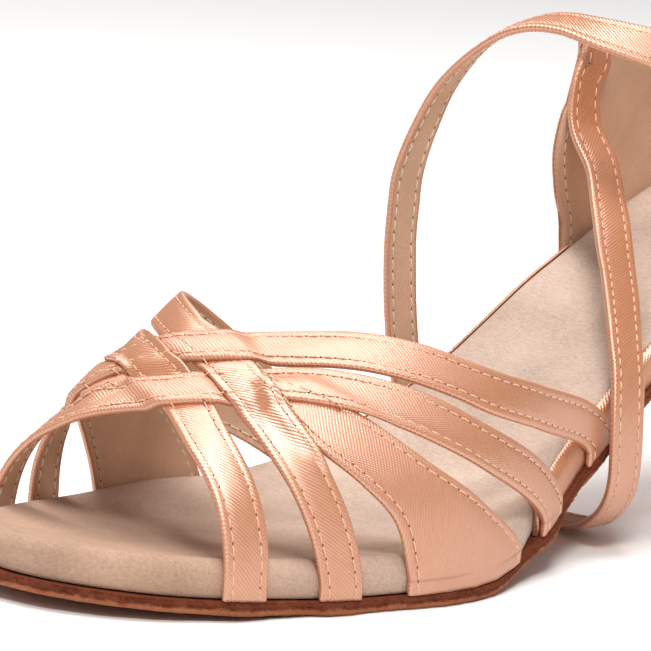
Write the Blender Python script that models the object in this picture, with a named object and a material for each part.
"""Latin dance sandal, left shoe, size about 36: strap lattice, padded footbed,
suede outsole, flared covered heel, heel counter and one long wrap-around ankle strap.

Metres, +Z up, floor at z = 0. The toe points to -Y and the outer side is +X.
"along" is the share of SHOE_LENGTH from the heel's back, "turn" goes over the foot
from the outer feather line (0) to the inner one (1).
"""
import math

import bmesh
import bpy
from mathutils import Vector

for old in list(bpy.data.objects):
    bpy.data.objects.remove(old, do_unlink=True)

# Driving dimensions of the last
SHOE_LENGTH = 0.228        # plan length of the footbed
BALL_WIDTH = 0.0795        # footbed width at the ball
SEAT_HEIGHT = 0.0640       # feather line above the floor at the heel's back
INSTEP_HEIGHT = 0.0556     # strap lattice above the feather line, at the ball
SOLE_THICKNESS = 0.0026    # suede outsole
SOLE_LEDGE = 0.0010        # outsole proud of the footbed
SOLE_BEVEL = 0.0005
BED_THICKNESS = 0.0070     # padded footbed at its edge
BED_ROUND = 0.0024         # rounding of the footbed's top edge
BED_DISH = 0.0016          # hollow of the footbed across the foot
BED_BEVEL = 0.0004         # bottom edge of the footbed
GAP = 0.0003               # clearance between neighbouring pieces

# Driving dimensions of the pieces on the last
STRAP_WIDTH = 0.0083
STRAP_WALL = 0.0015        # satin and lining together
STRAP_FOOT = 0.0030        # straight part of a strap beside the footbed
BAND_WALL = 0.0010         # satin edge cover along the arch
BAND_FRONT = 0.585         # share along where the edge covers end under the straps
LET_IN_RUN = 0.025         # share along in which the footbed's side comes out again
COUNTER_WALL = 0.0022
COUNTER_LENGTH = 0.0720    # from the heel's back to the front edge
COUNTER_HEIGHT = 0.0420    # top of the counter above the seat at the back
HEEL_SEAT_LENGTH = 0.0480
HEEL_SEAT_WIDTH = 0.0477
HEEL_TIP_HEIGHT = 0.0060
ANKLE_STRAP_WIDTH = 0.0082
ANKLE_STRAP_WALL = 0.0014
BUCKLE_LENGTH = 0.0110     # from bar to bar
BUCKLE_WIRE = 0.0016
BUCKLE_CORNER = 0.0018     # middle line of the wire at the frame's corners
PRONG_WIDTH = 0.0016
PRONG_WALL = 0.0009
PRONG_REACH = 0.0012       # prong past the front bar
TAB_WALL = 0.0008          # fabric tabs that hold the buckle
TAB_LENGTH = 0.0070
TAB_WIDTH = 0.0026
KEEPER_LENGTH = 0.0050
KEEPER_WALL = 0.0008
KEEPER_RUN = 0.0040        # from the ends of the tabs to the keeper
STRAP_PLAY = 0.0004        # more room for the strap in the frame and the keeper

# Plan of the footbed: along, outer and inner edge as shares of BALL_WIDTH
OUTLINE = (
    (0.000, 0.000, 0.000), (0.035, 0.178, -0.173), (0.096, 0.291, -0.283), (0.219, 0.320, -0.299),
    (0.351, 0.315, -0.254), (0.482, 0.322, -0.294), (0.614, 0.448, -0.396), (0.702, 0.502, -0.494),
    (0.781, 0.468, -0.478), (0.855, 0.402, -0.440), (0.912, 0.340, -0.396), (0.956, 0.246, -0.322),
    (0.987, 0.110, -0.200), (1.000, -0.060, -0.060),
)
# Feather line, the top of the outsole: along, height as a share of SEAT_HEIGHT.
# Equal rows give the flat spot under the ball.
FEATHER = (
    (0.000, 1.000), (0.110, 0.950), (0.219, 0.820), (0.351, 0.630), (0.482, 0.314),
    (0.592, 0.108), (0.680, 0.0406), (0.800, 0.0406), (0.877, 0.051), (1.000, 0.081),
)
# Height of the lattice's skin above the feather line, share of INSTEP_HEIGHT
SKIN_CREST = (
    (0.373, 1.425), (0.482, 1.364), (0.592, 1.235), (0.702, 1.000), (0.811, 0.729),
    (0.899, 0.487), (1.000, 0.310),
)
# Line of the crest: along, offset as a share of BALL_WIDTH
SKIN_RIDGE = ((0.48, -0.048), (0.72, -0.120), (0.94, 0.035))
OUTER_FULLNESS = 2.30      # squareness of the skin's outer and inner halves
INNER_FULLNESS = 2.20

# Centre lines of the straps on the skin: turn, along
OUTER_TOE_STRAP = ((0.00, 0.892), (0.20, 0.889), (0.33, 0.883), (0.45, 0.864), (0.56, 0.840),
                   (0.68, 0.808), (0.85, 0.716), (1.00, 0.580))
OUTER_BALL_STRAP = ((0.00, 0.815), (0.14, 0.830), (0.25, 0.837), (0.36, 0.834), (0.47, 0.818),
                    (0.60, 0.786), (0.72, 0.738), (0.86, 0.658), (1.00, 0.572))
OUTER_WAIST_STRAP = ((0.00, 0.566), (0.15, 0.709), (0.33, 0.817), (0.45, 0.862), (0.60, 0.885),
                     (0.75, 0.897), (1.00, 0.906))
OUTER_ARCH_STRAP = ((0.00, 0.484), (0.15, 0.650), (0.33, 0.770), (0.45, 0.816), (0.60, 0.840),
                    (0.80, 0.850), (1.00, 0.847))
# Wide wings of the lattice: turn, front edge and rear edge as shares along
OUTER_WING = ((0.00, 0.757, 0.623), (0.06, 0.768, 0.684), (0.12, 0.792, 0.733), (0.20, 0.818, 0.770),
              (0.30, 0.830, 0.802), (0.36, 0.838, 0.818))
INNER_WING = ((0.55, 0.877, 0.852), (0.66, 0.870, 0.842), (0.76, 0.846, 0.804), (0.84, 0.823, 0.757),
              (0.90, 0.803, 0.708), (0.95, 0.788, 0.682), (1.00, 0.778, 0.664))
# Crossings: for each strap, turn of the crossing and lift as a share of STRAP_WALL
LIFTS = {
    "outer_toe": ((0.570, 0.80),),
    "outer_ball": ((0.345, 1.05), (0.600, 0.20)),
    "outer_waist": ((0.345, 0.40), (0.460, 0.85), (0.620, 0.50)),
    "outer_arch": ((0.470, 0.85), (0.620, 0.45)),
}
LIFT_HALF = 0.050          # half length of a lift, in turn
STRAP_LIFT = 0.20          # straps lie this share of their wall above the wings
WING_SINK = (0.25, 0.65)    # turn where the outer and inner wings go under the straps
WING_DROP = 0.30           # depth there, share of STRAP_WALL
STRAP_ROWS = 44
WING_ROWS = 18
WING_COLUMNS = 6

# Counter: share of its height, share of COUNTER_LENGTH at the front edge,
# width as a share of the footbed's, and lean of the back as a share of SHOE_LENGTH
COUNTER_FORM = (
    (0.00, 1.000, 1.000, 0.000), (0.20, 1.000, 1.030, -0.010), (0.40, 1.040, 1.015, -0.007),
    (0.58, 1.064, 0.980, 0.000), (0.72, 1.052, 0.943, 0.007), (0.84, 1.014, 0.912, 0.014),
    (1.00, 1.008, 0.880, 0.019),
)
# Top line of the counter: share from the back to the ear, and height above the
# seat as a share of COUNTER_HEIGHT
COUNTER_TOP = ((0.00, 1.000), (0.20, 0.962), (0.40, 0.860), (0.65, 0.725), (0.85, 0.650),
               (0.95, 0.628), (1.00, 0.617))
COUNTER_COLUMNS = 32
COUNTER_ROWS = 8

# Heel block: share of the way down, back and breast as shares of HEEL_SEAT_LENGTH,
# width as a share of HEEL_SEAT_WIDTH
HEEL_FORM = (
    (0.00, -0.020, 1.000, 1.020), (0.07, 0.010, 0.930, 0.930), (0.20, 0.095, 0.780, 0.740),
    (0.38, 0.170, 0.660, 0.560), (0.58, 0.195, 0.600, 0.455), (0.80, 0.170, 0.585, 0.415),
    (1.00, 0.140, 0.557, 0.405),
)
HEEL_SIDES = 16

# Route of the long ankle strap, from the inner ear over the opening to the outer
# arch, under the arch, up the inner side and over the instep to the buckle:
# across as a share of BALL_WIDTH, along, height as a share of SEAT_HEIGHT, and the
# way the satin faces (heading, 0 to the toe and 90 to the outer side, and climb)
ANKLE_ROUTE = (
    (-0.212, 0.308, 1.296, 90, 0), (-0.196, 0.313, 1.170, 84, 5), (-0.113, 0.325, 1.055, 74, 10),
    (-0.019, 0.350, 0.946, 68, 12), (0.075, 0.376, 0.836, 66, 12), (0.184, 0.408, 0.735, 70, 10),
    (0.289, 0.440, 0.616, 76, 6), (0.350, 0.458, 0.522, 82, 3), (0.378, 0.467, 0.412, 88, 0),
    (0.374, 0.465, 0.265, 90, -8), (0.343, 0.459, 0.173, 90, -28), (0.277, 0.448, 0.102, 90, -50),
    (0.176, 0.430, 0.044, 90, -70), (0.038, 0.414, 0.025, 90, -88), (-0.110, 0.412, 0.025, 270, -84),
    (-0.240, 0.424, 0.069, 270, -60), (-0.325, 0.445, 0.198, 270, -25), (-0.358, 0.465, 0.383, 270, -6),
    (-0.362, 0.476, 0.572, 270, 0), (-0.362, 0.482, 0.788, 270, 4), (-0.360, 0.481, 0.936, 271, 8),
    (-0.352, 0.479, 1.050, 273, 14), (-0.327, 0.468, 1.199, 278, 26), (-0.277, 0.460, 1.330, 288, 44),
    (-0.176, 0.455, 1.451, 320, 66), (-0.050, 0.452, 1.525, 20, 76), (0.050, 0.442, 1.537, 50, 66),
    (0.138, 0.429, 1.517, 64, 48), (0.226, 0.400, 1.482, 76, 26), (0.274, 0.356, 1.428, 86, 8),
)
ANKLE_STEPS = 3            # rows between two points of the route
FOLD_STEPS = 6
FOLD_STEM = 0.0005         # upright part of the strap on the ear's top edge
STRAP_END_LENGTH = 0.0220  # free end behind the buckle's rear bar
EAR_ALONG = 0.3075         # middle of the strap's fold on the inner ear
BUCKLE_REAR = 0.258        # rear and front bars of the buckle
BUCKLE_FRONT = 0.300
BUCKLE_RISE = (0.70, 0.84)   # height share of the counter at the rear and front bars
BUCKLE_STANDOFF = 0.0009   # room for the roundness of the counter's wall

COLUMNS = 36               # stations along the footbed and outsole


def hermite(rows, x, column=1):
    """Monotone curve through a table's first column and the named one."""
    xs = [row[0] for row in rows]
    ys = [row[column] for row in rows]
    x = min(max(x, xs[0]), xs[-1])
    steps = [xs[i + 1] - xs[i] for i in range(len(xs) - 1)]
    slopes = [(ys[i + 1] - ys[i]) / steps[i] for i in range(len(steps))]
    tangents = [slopes[0]]
    for before, after in zip(slopes, slopes[1:]):
        tangents.append(0.0 if before * after <= 0 else 2 * before * after / (before + after))
    tangents.append(slopes[-1])
    i = max(k for k in range(len(steps)) if xs[k] <= x)
    t = (x - xs[i]) / steps[i]
    return ((2 * t ** 3 - 3 * t * t + 1) * ys[i] + (t ** 3 - 2 * t * t + t) * steps[i] * tangents[i]
            + (3 * t * t - 2 * t ** 3) * ys[i + 1] + (t ** 3 - t * t) * steps[i] * tangents[i + 1])


def smooth(rows, x, column=1):
    """Catmull-Rom curve through a table's first column and the named one."""
    xs = [row[0] for row in rows]
    ys = [row[column] for row in rows]
    x = min(max(x, xs[0]), xs[-1])
    last = len(xs) - 1
    i = min(max(k for k in range(last) if xs[k] <= x), last - 1)

    def tangent(k):
        low, high = max(k - 1, 0), min(k + 1, last)
        return (ys[high] - ys[low]) / (xs[high] - xs[low])

    step = xs[i + 1] - xs[i]
    t = (x - xs[i]) / step
    return ((2 * t ** 3 - 3 * t * t + 1) * ys[i] + (t ** 3 - 2 * t * t + t) * step * tangent(i)
            + (3 * t * t - 2 * t ** 3) * ys[i + 1] + (t ** 3 - t * t) * step * tangent(i + 1))


def swing(along):
    """Share of a half turn round the outline, so that its round ends stay smooth."""
    return math.acos(max(-1.0, min(1.0, 1 - 2 * along))) / math.pi


OUTLINE_SWING = [(swing(row[0]), row[1], row[2]) for row in OUTLINE]


def edge(along, side):
    """Footbed edge across the shoe, side +1 outer and -1 inner."""
    return BALL_WIDTH * smooth(OUTLINE_SWING, swing(along), 1 if side > 0 else 2)


def station(along):
    """Position along Y of a share of the length, with the box centred on the footbed."""
    return (0.5 - along) * SHOE_LENGTH


def feather(along):
    return max(SEAT_HEIGHT * hermite(FEATHER, along), SOLE_THICKNESS)


def plan_point(along, side, offset):
    """Point of the outline moved outwards by offset, in plan."""
    step = 0.002
    turn = swing(along)

    def at(share):
        a = (1 - math.cos(math.pi * share)) / 2
        return Vector((edge(a, side), station(a)))

    if turn < step or turn > 1 - step:
        end = at(turn)
        return Vector((end.x, end.y + (offset if turn < step else -offset)))
    tangent = at(min(turn + step, 1)) - at(max(turn - step, 0))
    normal = Vector((tangent.y, -tangent.x)).normalized() * side
    return at(turn) - normal * offset


def make_object(name, verts, faces, color, roughness, metallic=0.0, smooth_angle=35):
    mesh = bpy.data.meshes.new(name)
    mesh.from_pydata([tuple(v) for v in verts], [], faces)
    bm = bmesh.new()
    bm.from_mesh(mesh)
    bmesh.ops.recalc_face_normals(bm, faces=bm.faces)
    bmesh.ops.triangulate(bm, faces=bm.faces)
    bm.to_mesh(mesh)
    bm.free()
    mesh.shade_smooth()
    mesh.set_sharp_from_angle(angle=math.radians(smooth_angle))
    obj = bpy.data.objects.new(name, mesh)
    bpy.context.scene.collection.objects.link(obj)
    material = bpy.data.materials.new(name)
    material.use_nodes = True
    shader = material.node_tree.nodes["Principled BSDF"]
    shader.inputs["Base Color"].default_value = (*color, 1.0)
    shader.inputs["Roughness"].default_value = roughness
    shader.inputs["Metallic"].default_value = metallic
    mesh.materials.append(material)
    return obj


def tube(name, rings, color, roughness, metallic=0.0, closed=False):
    """Solid through rings of points, capped at both ends unless it closes on itself."""
    count = len(rings[0])
    verts = [p for ring in rings for p in ring]
    faces = []
    spans = len(rings) if closed else len(rings) - 1
    for i in range(spans):
        here, there = i * count, ((i + 1) % len(rings)) * count
        for j in range(count):
            k = (j + 1) % count
            faces.append((here + j, here + k, there + k, there + j))
    if not closed:
        faces.append(tuple(range(count)))
        faces.append(tuple((len(rings) - 1) * count + j for j in range(count)))
    return make_object(name, verts, faces, color, roughness, metallic)


def sheet(name, outer, inner, color, roughness):
    """Wall between two grids of points, closed along its border."""
    rows, columns = len(outer), len(outer[0])
    verts = [p for row in outer for p in row] + [p for row in inner for p in row]
    base = rows * columns
    faces = []
    for i in range(rows - 1):
        for j in range(columns - 1):
            a, b = i * columns + j, i * columns + j + 1
            c, d = a + columns, b + columns
            faces.append((a, b, d, c))
            faces.append((base + a, base + c, base + d, base + b))
    border = [j for j in range(columns)]
    border += [i * columns + columns - 1 for i in range(1, rows)]
    border += [(rows - 1) * columns + j for j in range(columns - 2, -1, -1)]
    border += [i * columns for i in range(rows - 2, 0, -1)]
    for a, b in zip(border, border[1:] + border[:1]):
        faces.append((a, base + a, base + b, b))
    return make_object(name, verts, faces, color, roughness)


def layered(name, rings, columns, crown, color, roughness, square_heel=False):
    """Solid of stacked loops that run heel, outer side, toe, inner side.

    The first and last loops are filled by strips across the shoe, with as many
    columns as given, and crown(side_share, along) lifts the last one's filling.
    """
    count = len(rings[0])
    half = (count - 1) // 2 if square_heel else count // 2
    verts = [p for ring in rings for p in ring]
    faces = []
    for i in range(len(rings) - 1):
        for j in range(count):
            k = (j + 1) % count
            faces.append((i * count + j, i * count + k, (i + 1) * count + k, (i + 1) * count + j))
    for ring_index in (0, len(rings) - 1):
        start = ring_index * count
        lines = []
        for i in range(half + 1):
            left = i
            right = count - 1 - i if square_heel else (count - i) % count
            if left == right:
                lines.append([start + left])
                continue
            line = [start + left]
            a, b = Vector(verts[start + left]), Vector(verts[start + right])
            for j in range(1, columns):
                share = j / columns
                p = a.lerp(b, share)
                if ring_index:
                    p.z += crown(share, i / half)
                verts.append(p)
                line.append(len(verts) - 1)
            lines.append(line + [start + right])
        for one, two in zip(lines, lines[1:]):
            if len(one) == 1:
                faces += [(one[0], two[j], two[j + 1]) for j in range(len(two) - 1)]
            elif len(two) == 1:
                faces += [(one[j], two[0], one[j + 1]) for j in range(len(one) - 1)]
            else:
                faces += [(one[j], two[j], two[j + 1], one[j + 1]) for j in range(len(one) - 1)]
    return make_object(name, verts, faces, color, roughness)


def loop(offset, height, first=0.0):
    """Loop round the outline at an offset; height(along) gives z. It starts at first."""
    alongs = [a for a in STATIONS if a > first + STATION_STEP or a == first]
    if first > 0:
        alongs.insert(0, first)
    points = []
    for a in alongs:
        p = plan_point(a, 1, offset(a))
        points.append(Vector((p.x, p.y, height(a))))
    inner = alongs[:-1] if first > 0 else alongs[1:-1]
    for a in reversed(inner):
        p = plan_point(a, -1, offset(a))
        points.append(Vector((p.x, p.y, height(a))))
    return points


# Stations along the sole, with the ends of the edge covers among them
STATION_STEP = 0.004
band_start = (COUNTER_LENGTH + GAP) / SHOE_LENGTH
band_end = BAND_FRONT - GAP / SHOE_LENGTH
marks = [band_start, band_end, BAND_FRONT + LET_IN_RUN]
STATIONS = [(1 - math.cos(math.pi * i / COLUMNS)) / 2 for i in range(COLUMNS + 1)]
STATIONS = sorted(marks + [a for a in STATIONS if min(abs(a - m) for m in marks) > STATION_STEP])

# Suede outsole, from the heel breast to the toe
BREAST = HEEL_SEAT_LENGTH / SHOE_LENGTH
SUEDE_BROWN = (0.30, 0.10, 0.055)
sole_start = BREAST + GAP / SHOE_LENGTH
layered(
    "outsole",
    [
        loop(lambda a: SOLE_LEDGE - SOLE_BEVEL, lambda a: feather(a) - SOLE_THICKNESS, sole_start),
        loop(lambda a: SOLE_LEDGE, lambda a: feather(a) - SOLE_THICKNESS + SOLE_BEVEL, sole_start),
        loop(lambda a: SOLE_LEDGE, lambda a: feather(a) - SOLE_BEVEL, sole_start),
        loop(lambda a: SOLE_LEDGE - SOLE_BEVEL, feather, sole_start),
    ],
    1, lambda share, i: 0.0, SUEDE_BROWN, 0.9, square_heel=True,
)

# Padded footbed. Behind the waist its side is let in for the edge cover and counter.
BED_BEIGE = (0.72, 0.55, 0.42)
ROUND_MIDDLE = 1 - math.sqrt(0.5)    # middle of a quarter round, share of its radius


def let_in(along):
    share = min(max((BAND_FRONT + LET_IN_RUN - along) / LET_IN_RUN, 0.0), 1.0)
    return share * (BAND_WALL + GAP)


def bed_ring(inset, height):
    return loop(lambda a: -let_in(a) - inset, lambda a: feather(a) + height)


def bed_crown(share, i):
    return -BED_DISH * math.sin(math.pi * share) ** 0.8


layered(
    "footbed",
    [
        bed_ring(BED_BEVEL, GAP), bed_ring(0.0, GAP + BED_BEVEL),
        bed_ring(0.0, BED_THICKNESS - BED_ROUND),
        bed_ring(ROUND_MIDDLE * BED_ROUND, BED_THICKNESS - ROUND_MIDDLE * BED_ROUND),
        bed_ring(BED_ROUND, BED_THICKNESS),
    ],
    6, bed_crown, BED_BEIGE, 0.9,
)

# Satin edge covers along the arch, between the counter and the waist straps
SATIN_PEACH = (0.80, 0.42, 0.29)
for band_name, side in (("edge_cover_outer", 1), ("edge_cover_inner", -1)):
    band_rings = []
    for a in (x for x in STATIONS if band_start <= x <= band_end):
        low, high = feather(a) + GAP, feather(a) + BED_THICKNESS - BED_ROUND / 2
        face = plan_point(a, side, 0.0)
        back = plan_point(a, side, -BAND_WALL)
        band_rings.append([
            Vector((face.x, face.y, low)), Vector((face.x, face.y, high - 0.6 * BAND_WALL)),
            Vector((face.x, face.y, high)).lerp(Vector((back.x, back.y, high)), 0.5),
            Vector((back.x, back.y, high - 0.3 * BAND_WALL)), Vector((back.x, back.y, low)),
        ])
    tube(band_name, band_rings, SATIN_PEACH, 0.35)


# Strap lattice, one solid lying on the skin of the last
def skin(along, turn, lift=0.0):
    """Point on the skin of the foot, raised by lift along its normal."""

    def at(a, t):
        a = min(max(a, 0.0), 1.0)
        angle = math.pi * min(max(t, 0.0), 1.0)
        c, s = math.cos(angle), abs(math.sin(angle))
        ridge = BALL_WIDTH * smooth(SKIN_RIDGE, a)
        side = 1 if c >= 0 else -1
        full = OUTER_FULLNESS if c >= 0 else INNER_FULLNESS
        reach = abs(edge(a, side) + side * GAP - ridge)
        crest = INSTEP_HEIGHT * smooth(SKIN_CREST, a) - STRAP_FOOT
        z = feather(a) + STRAP_FOOT + crest * s ** (2 / full)
        return Vector((ridge + side * reach * abs(c) ** (2 / full), station(a), z))

    p = at(along, turn)
    if lift == 0.0:
        return p
    small = 0.004
    low, high = max(turn - small, 0.0), min(turn + small, 1.0)
    across = at(along, high) - at(along, low)
    forward = at(along + small, turn) - at(along - small, turn)
    normal = across.cross(forward)
    if turn <= small or turn >= 1 - small:
        normal = Vector((forward.y, -forward.x, 0.0)) * (1 if turn > 0.5 else -1)
    return p + normal.normalized() * lift


def lift_at(name, turn):
    """Height of a strap over the ones that it crosses, share of STRAP_WALL."""
    high = STRAP_LIFT
    for place, amount in LIFTS[name]:
        near = 1 - abs(turn - place) / (2 * LIFT_HALF)
        near = min(max(near * 1.6, 0.0), 1.0)
        high = max(high, STRAP_LIFT + (amount - STRAP_LIFT) * near * near * (3 - 2 * near))
    return high


def strap_rings(front, rear, lift, first, last, rows, columns):
    """Rings across a strap whose edges run along front(turn) and rear(turn)."""
    rings = []
    for i in range(rows + 1):
        turn = first + (last - first) * i / rows
        a, b = rear(turn), front(turn)
        raised = lift(turn) * STRAP_WALL
        line = [a + (b - a) * j / columns for j in range(columns + 1)]
        top = [skin(x, turn, raised + STRAP_WALL) for x in line]
        bottom = [skin(x, turn, raised) for x in reversed(line)]
        rings.append(top + bottom)
    return rings


def foot_ring(ring):
    """The ring carried straight down to the feather line, beside the footbed."""
    drop = [p.copy() for p in ring]
    for p in drop:
        p.z = feather(0.5 - p.y / SHOE_LENGTH) + 1.5 * GAP
    return drop


def strap_solid(name, table, lifts):
    def centre(turn):
        return smooth(table, turn)

    def half(turn):
        small = 0.01
        low, high = max(turn - small, 0.0), min(turn + small, 1.0)
        run = (skin(centre(high), high) - skin(centre(low), low)).normalized()
        length = (skin(centre(turn) + small, turn) - skin(centre(turn) - small, turn)) / (2 * small)
        return STRAP_WIDTH / 2 / run.cross(length).length

    rings = strap_rings(lambda t: centre(t) + half(t), lambda t: centre(t) - half(t),
                        lambda t: lift_at(lifts, t), 0.0, 1.0, STRAP_ROWS, 3)
    rings = [foot_ring(rings[0])] + rings + [foot_ring(rings[-1])]
    return tube(name, rings, SATIN_PEACH, 0.35)


def wing_solid(name, table, outer):
    first, last = table[0][0], table[-1][0]

    sink, tip = (WING_SINK[0], last) if outer else (WING_SINK[1], first)

    def lift(turn):
        share = (turn - sink) / (tip - sink)
        return -WING_DROP * min(max(share * 2, 0.0), 1.0)

    rings = strap_rings(lambda t: smooth(table, t, 1), lambda t: smooth(table, t, 2),
                        lift, first, last, WING_ROWS, WING_COLUMNS)
    if outer:
        rings = [foot_ring(rings[0])] + rings
    else:
        rings = rings + [foot_ring(rings[-1])]
    return tube(name, rings, SATIN_PEACH, 0.35)


lattice = wing_solid("strap_lattice", OUTER_WING, True)
others = [
    wing_solid("inner_wing", INNER_WING, False),
    strap_solid("outer_toe_strap", OUTER_TOE_STRAP, "outer_toe"),
    strap_solid("outer_ball_strap", OUTER_BALL_STRAP, "outer_ball"),
    strap_solid("outer_waist_strap", OUTER_WAIST_STRAP, "outer_waist"),
    strap_solid("outer_arch_strap", OUTER_ARCH_STRAP, "outer_arch"),
]
for other in others:
    join = lattice.modifiers.new(other.name, "BOOLEAN")
    join.operation = "UNION"
    join.solver = "EXACT"
    join.object = other
    other.hide_render = True
    other.display_type = "WIRE"

# Heel counter, a hollow wall round the back of the footbed with an ear on each side


def counter_point(way, rise, offset):
    """Way -1 inner ear to +1 outer ear, rise 0 at the feather line to 1 at the top."""
    side = 1 if way >= 0 else -1
    reach = hermite(COUNTER_FORM, rise, 1) * COUNTER_LENGTH / SHOE_LENGTH
    turn = abs(way) * swing(reach)
    a = (1 - math.cos(math.pi * turn)) / 2
    back_weight = math.cos(math.pi * min(abs(way), 1.0) / 2) ** 2
    width = smooth(COUNTER_FORM, rise, 2)
    lean = SHOE_LENGTH * smooth(COUNTER_FORM, rise, 3) * back_weight
    p = plan_point(a, side, offset)
    low = feather(a) + GAP
    top = SEAT_HEIGHT + COUNTER_HEIGHT * smooth(COUNTER_TOP, abs(way))
    z = low + (top - low) * rise
    return Vector((p.x * width, p.y - lean, z))


counter_ways = [-1 + 2 * i / COUNTER_COLUMNS for i in range(COUNTER_COLUMNS + 1)]
counter_rises = [i / COUNTER_ROWS for i in range(COUNTER_ROWS + 1)]
COUNTER_SEAT = BAND_WALL - COUNTER_WALL
sheet(
    "heel_counter",
    [[counter_point(w, r, -COUNTER_SEAT) for w in counter_ways] for r in counter_rises],
    [[counter_point(w, r, -BAND_WALL) for w in counter_ways] for r in counter_rises],
    SATIN_PEACH, 0.35,
)


# Covered heel block and its tip
def heel_ring(share_down, height):
    back, breast, width = (smooth(HEEL_FORM, share_down, c) for c in (1, 2, 3))
    points = []
    for i in range(2 * HEEL_SIDES + 1):
        angle = math.pi * (i / (2 * HEEL_SIDES) - 0.5)
        x = math.sin(angle)
        depth = 1 - abs(math.cos(angle)) ** 0.9
        a = (back + (breast - back) * depth) * BREAST
        points.append((x * HEEL_SEAT_WIDTH / 2 * width, a))
    return [Vector((x, station(a), height(a))) for x, a in points]


def heel_height(share):
    def height(along):
        top = feather(max(along, 0.0)) - GAP
        return top + (HEEL_TIP_HEIGHT + GAP - top) * share
    return height


heel_shares = [0.0, 0.035, 0.07, 0.13, 0.2, 0.29, 0.38, 0.48, 0.58, 0.69, 0.8, 0.9, 1.0]
tube("heel_block", [heel_ring(s, heel_height(s)) for s in heel_shares], SATIN_PEACH, 0.35)
tube(
    "heel_tip",
    [heel_ring(1.0, lambda a: HEEL_TIP_HEIGHT), heel_ring(1.0, lambda a: 0.0)],
    (0.05, 0.04, 0.035), 0.6,
)


# Long ankle strap
def facing(heading, climb):
    h, c = math.radians(heading), math.radians(climb)
    return Vector((math.sin(h) * math.cos(c), -math.cos(h) * math.cos(c), math.sin(c)))


def route_point(row):
    across, along, height = row[:3]
    return Vector((across * BALL_WIDTH, station(along), height * SEAT_HEIGHT))


def curve_through(points, steps):
    result = []
    for i in range(len(points) - 1):
        before = points[max(i - 1, 0)]
        after = points[min(i + 2, len(points) - 1)]
        for k in range(steps):
            t = k / steps
            m0, m1 = (points[i + 1] - before) / 2, (after - points[i]) / 2
            result.append((2 * t ** 3 - 3 * t * t + 1) * points[i] + (t ** 3 - 2 * t * t + t) * m0
                          + (3 * t * t - 2 * t ** 3) * points[i + 1] + (t ** 3 - t * t) * m1)
    return result + [points[-1]]


def ribbon_rings(path, faces, width, wall):
    """Rings of a flat band; the path runs along the middle of its wall."""
    rings = []
    for i, p in enumerate(path):
        tangent = (path[min(i + 1, len(path) - 1)] - path[max(i - 1, 0)]).normalized()
        out = faces[i] - tangent * faces[i].dot(tangent)
        out.normalize()
        across = tangent.cross(out)
        rings.append([p + across * (width * x) + out * (wall * y) for x, y in
                      ((-0.5, 0.0), (-0.45, 0.5), (0.45, 0.5), (0.5, 0.0), (0.45, -0.5), (-0.45, -0.5))])
    return rings


ear_reach = hermite(COUNTER_FORM, 1.0, 1) * COUNTER_LENGTH / SHOE_LENGTH
ear_way = swing(EAR_ALONG) / swing(ear_reach)
inner_ear = counter_point(-ear_way, 1.0, -(COUNTER_SEAT + BAND_WALL) / 2)
ear_line = counter_point(-ear_way + 0.05, 1.0, 0.0) - counter_point(-ear_way - 0.05, 1.0, 0.0)
ear_out = Vector((-abs(ear_line.y), math.copysign(ear_line.x, ear_line.x * ear_line.y), 0.0)).normalized()
fold_half = (COUNTER_WALL / 2 + 1.5 * GAP + ANKLE_STRAP_WALL / 2) / 2
fold_middle = inner_ear - ear_out * fold_half + Vector((0.0, 0.0, 2 * GAP + FOLD_STEM))
path = [inner_ear + Vector((0.0, 0.0, 2 * GAP))]
faces = [ear_out]
for i in range(FOLD_STEPS + 1):
    angle = math.pi * i / FOLD_STEPS
    out = ear_out * math.cos(angle) + Vector((0.0, 0.0, math.sin(angle)))
    path.append(fold_middle + out * fold_half)
    faces.append(out)

# Frame of the buckle on the outer ear: forward along the strap, up, and out of the wall
off_wall = BUCKLE_STANDOFF - COUNTER_SEAT
buckle_back = counter_point(swing(BUCKLE_REAR) / swing(ear_reach), BUCKLE_RISE[0], off_wall)
buckle_fore = counter_point(swing(BUCKLE_FRONT) / swing(ear_reach), BUCKLE_RISE[1], off_wall)
forward = (buckle_fore - buckle_back).normalized()
buckle_way = swing(BUCKLE_REAR) / swing(ear_reach)
wall_rise = counter_point(buckle_way, 0.9, off_wall) - counter_point(buckle_way, 0.6, off_wall)
wall_out = wall_rise.cross(forward).normalized()
if wall_out.x < 0:
    wall_out = -wall_out
upward = wall_out.cross(forward)
if upward.z < 0:
    upward = -upward


def at_buckle(run, rise, out):
    return buckle_back + forward * run + upward * rise + wall_out * out


bar = BUCKLE_WIRE / 2
rear_out = GAP + TAB_WALL + GAP + bar
front_out = 2 * GAP + ANKLE_STRAP_WALL + STRAP_PLAY + bar
strap_half = ANKLE_STRAP_WALL / 2
strap_over = rear_out + bar + GAP + TAB_WALL + GAP + strap_half
strap_under = front_out - bar - GAP - strap_half
strap_kept = GAP + KEEPER_WALL + GAP + strap_half
# Middle of the strap's wall: distance behind (-) or ahead of the rear bar, and out of the wall
strap_line = (
    (1.55 * BUCKLE_LENGTH, strap_under),
    (BUCKLE_LENGTH, strap_under),
    (0.72 * BUCKLE_LENGTH, strap_under + 0.5 * ANKLE_STRAP_WALL),
    (0.30 * BUCKLE_LENGTH, strap_over - 0.65 * ANKLE_STRAP_WALL),
    (0.0, strap_over),
    (-0.70 * TAB_LENGTH, strap_over - 0.43 * ANKLE_STRAP_WALL),
    (-1.30 * TAB_LENGTH, strap_kept + 0.43 * ANKLE_STRAP_WALL),
    (-STRAP_END_LENGTH, strap_kept),
)
route = [route_point(row) for row in ANKLE_ROUTE] + [at_buckle(r, 0.0, o) for r, o in strap_line]
ways = [facing(row[3], row[4]) for row in ANKLE_ROUTE] + [wall_out] * len(strap_line)
lead_in = path[-1] + Vector((0.0, 0.0, -0.004))
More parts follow.
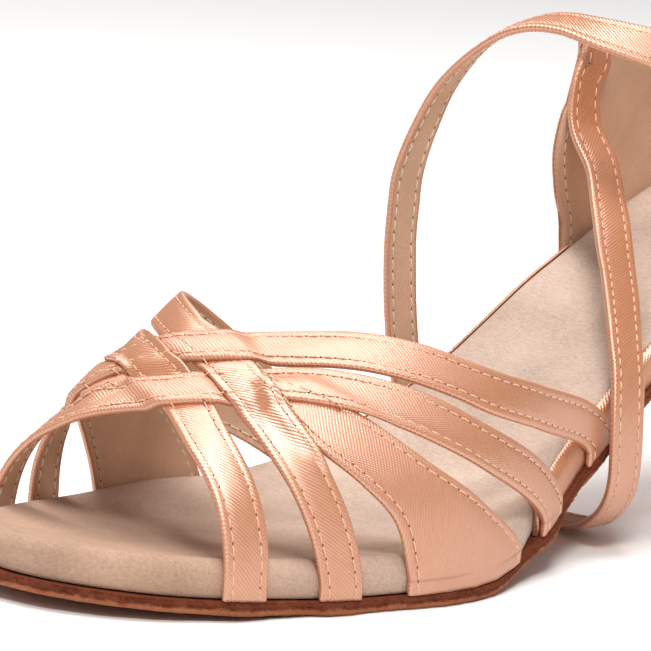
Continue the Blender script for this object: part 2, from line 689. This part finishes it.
path += curve_through([lead_in] + route, ANKLE_STEPS)
faces += curve_through([Vector((1.0, 0.0, 0.0))] + ways, ANKLE_STEPS)
ankle_strap = tube("ankle_strap", ribbon_rings(path, faces, ANKLE_STRAP_WIDTH, ANKLE_STRAP_WALL),
                   SATIN_PEACH, 0.35)


def plate(name, outline, half_width, color, roughness, metallic=0.0, middle=0.0):
    """Outline in the plane of strap run and wall normal, given a width across the strap."""
    rings = [[at_buckle(r, middle + side * half_width, o) for r, o in outline] for side in (-1, 1)]
    return tube(name, rings, color, roughness, metallic)


def hook(radius, wall, first, last, steps):
    """Arc of a strip bent round the rear bar: its outer points, then its inner ones."""
    angles = [math.radians(first + (last - first) * i / steps) for i in range(steps + 1)]
    outer = [(math.cos(a) * (radius + wall), rear_out + math.sin(a) * (radius + wall)) for a in angles]
    inner = [(math.cos(a) * radius, rear_out + math.sin(a) * radius) for a in reversed(angles)]
    return outer, inner


# Buckle: a bent wire frame, its prong and two fabric tabs that hold the rear bar
METAL = (0.78, 0.70, 0.62)
frame_half = ANKLE_STRAP_WIDTH / 2 + STRAP_PLAY + bar
corner = BUCKLE_CORNER
frame_line = []
for run_side, rise_side, turn_start in ((1, 1, 0), (-1, 1, 90), (-1, -1, 180), (1, -1, 270)):
    for i in range(5):
        angle = math.radians(turn_start + 90 * i / 4)
        run = BUCKLE_LENGTH / 2 + run_side * (BUCKLE_LENGTH / 2 - corner) + corner * math.cos(angle)
        rise = rise_side * (frame_half - corner) + corner * math.sin(angle)
        frame_line.append(at_buckle(run, rise, rear_out + (front_out - rear_out) * run / BUCKLE_LENGTH))
frame_rings = []
wire_turns = [math.pi * k / 4 for k in range(8)]
for i, p in enumerate(frame_line):
    tangent = (frame_line[(i + 1) % len(frame_line)] - frame_line[i - 1]).normalized()
    side = tangent.cross(wall_out).normalized()
    frame_rings.append([p + (side * math.cos(k) + wall_out * math.sin(k)) * bar for k in wire_turns])
tube("buckle_frame", frame_rings, METAL, 0.25, 1.0, closed=True)

prong_half = PRONG_WIDTH / 2
prong_outer, prong_inner = hook(bar + GAP, PRONG_WALL, 300, 90, 10)
prong_over = front_out + bar + GAP
prong_tip = BUCKLE_LENGTH + PRONG_REACH
plate("buckle_prong",
      prong_outer + [(prong_tip, prong_over + PRONG_WALL), (prong_tip, prong_over),
                     (0.8 * BUCKLE_LENGTH, prong_over)]
      + prong_inner,
      prong_half, METAL, 0.25, 1.0)

# Slot in the strap for the prong, from the rear bar to just behind the front one
slot_end = 0.86 * BUCKLE_LENGTH
slot_top = prong_over + 2 * PRONG_WALL
slot = plate("prong_slot", [(-bar, -bar), (slot_end, -bar), (slot_end, slot_top), (-bar, slot_top)],
             prong_half + GAP, METAL, 0.5)
cut = ankle_strap.modifiers.new("prong_slot", "BOOLEAN")
cut.operation = "DIFFERENCE"
cut.solver = "EXACT"
cut.object = slot
slot.hide_render = True
slot.display_type = "WIRE"

tab_outer, tab_inner = hook(bar + GAP, TAB_WALL, -90, 90, 8)
upper_layer = GAP + TAB_WALL + GAP
tab_outline = ([(-TAB_LENGTH, GAP)] + tab_outer
               + [(-TAB_LENGTH, upper_layer + TAB_WALL), (-TAB_LENGTH, upper_layer)]
               + tab_inner + [(-TAB_LENGTH, GAP + TAB_WALL)])
tab_middle = (prong_half + GAP + TAB_WIDTH) / 2 + prong_half / 2
for tab_name, side in (("buckle_tab_upper", 1), ("buckle_tab_lower", -1)):
    plate(tab_name, tab_outline, TAB_WIDTH / 2 - GAP, SATIN_PEACH, 0.35, middle=side * tab_middle)

# Keeper, a small band round the strap end
keeper_run = -TAB_LENGTH - KEEPER_RUN
keeper_in = GAP + KEEPER_WALL
keeper_out = keeper_in + 2 * GAP + ANKLE_STRAP_WALL + STRAP_PLAY
keeper_rise = ANKLE_STRAP_WIDTH / 2 + GAP
keeper_rings = []
for rise_side, out in ((1, keeper_in), (1, keeper_out), (-1, keeper_out), (-1, keeper_in)):
    deep = -KEEPER_WALL if out == keeper_in else KEEPER_WALL
    keeper_rings.append([
        at_buckle(keeper_run, rise_side * keeper_rise, out),
        at_buckle(keeper_run - KEEPER_LENGTH, rise_side * keeper_rise, out),
        at_buckle(keeper_run - KEEPER_LENGTH, rise_side * (keeper_rise + KEEPER_WALL), out + deep),
        at_buckle(keeper_run, rise_side * (keeper_rise + KEEPER_WALL), out + deep),
    ])
tube("strap_keeper", keeper_rings, SATIN_PEACH, 0.35, closed=True)

# The origin is the middle of the shoe's box, on the floor
solids = [obj for obj in bpy.data.objects if obj.type == "MESH"]
for axis in (0, 1):
    spread = [v.co[axis] for obj in solids for v in obj.data.vertices if not obj.hide_render]
    middle = (min(spread) + max(spread)) / 2
    for obj in solids:
        for v in obj.data.vertices:
            v.co[axis] -= middle
